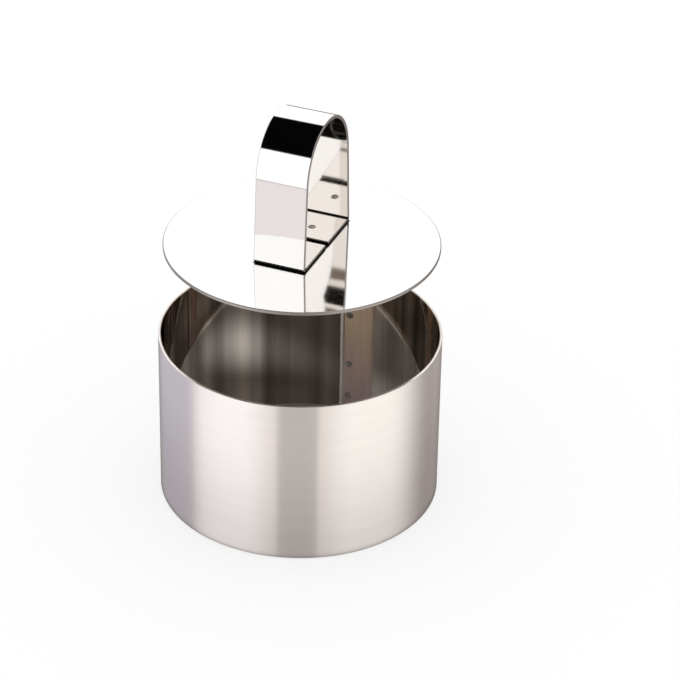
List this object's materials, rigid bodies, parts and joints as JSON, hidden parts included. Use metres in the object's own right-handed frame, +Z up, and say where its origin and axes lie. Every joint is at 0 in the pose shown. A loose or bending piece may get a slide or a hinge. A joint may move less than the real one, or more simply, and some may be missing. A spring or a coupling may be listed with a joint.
{
  "type": "plunger pastry cutter",
  "caption": "Open steel cutting ring with a loose press disc on an arched strap handle that slides down through the ring to press food level and push it out.",
  "frame": {"origin": "on the axis of the ring, in the plane of its lower edge, which stands on the worktop", "axes": "+Z up along the ring's axis and the plunger's travel, X along the width of the handle strap, Y from the front leg of the handle to the rear leg; the ring's lapped seam is at +Y"},
  "size_m": [0.0802, 0.0807, 0.1182],
  "materials": {
    "ring_steel": "stainless strip, satin polish along the strip",
    "plunger_steel": "stainless sheet, bright mirror polish",
    "weld_steel": "spot weld marks, dull and slightly heat tinted"
  },
  "bodies": {
    "ring": {"ring_band": "ring_steel", "seam_weld_top": "weld_steel", "seam_weld_upper": "weld_steel", "seam_weld_lower": "weld_steel", "seam_weld_bottom": "weld_steel"},
    "plunger": {"press_disc": "plunger_steel", "handle_strap": "plunger_steel", "foot_weld_front": "weld_steel", "foot_weld_rear": "weld_steel"}
  },
  "joints": [
    {"name": "plunger_slide", "type": "slide", "parent": "ring", "child": "plunger", "axis": [0, 0, 1], "range_m": [-0.0775, 0.02]}
  ]
}
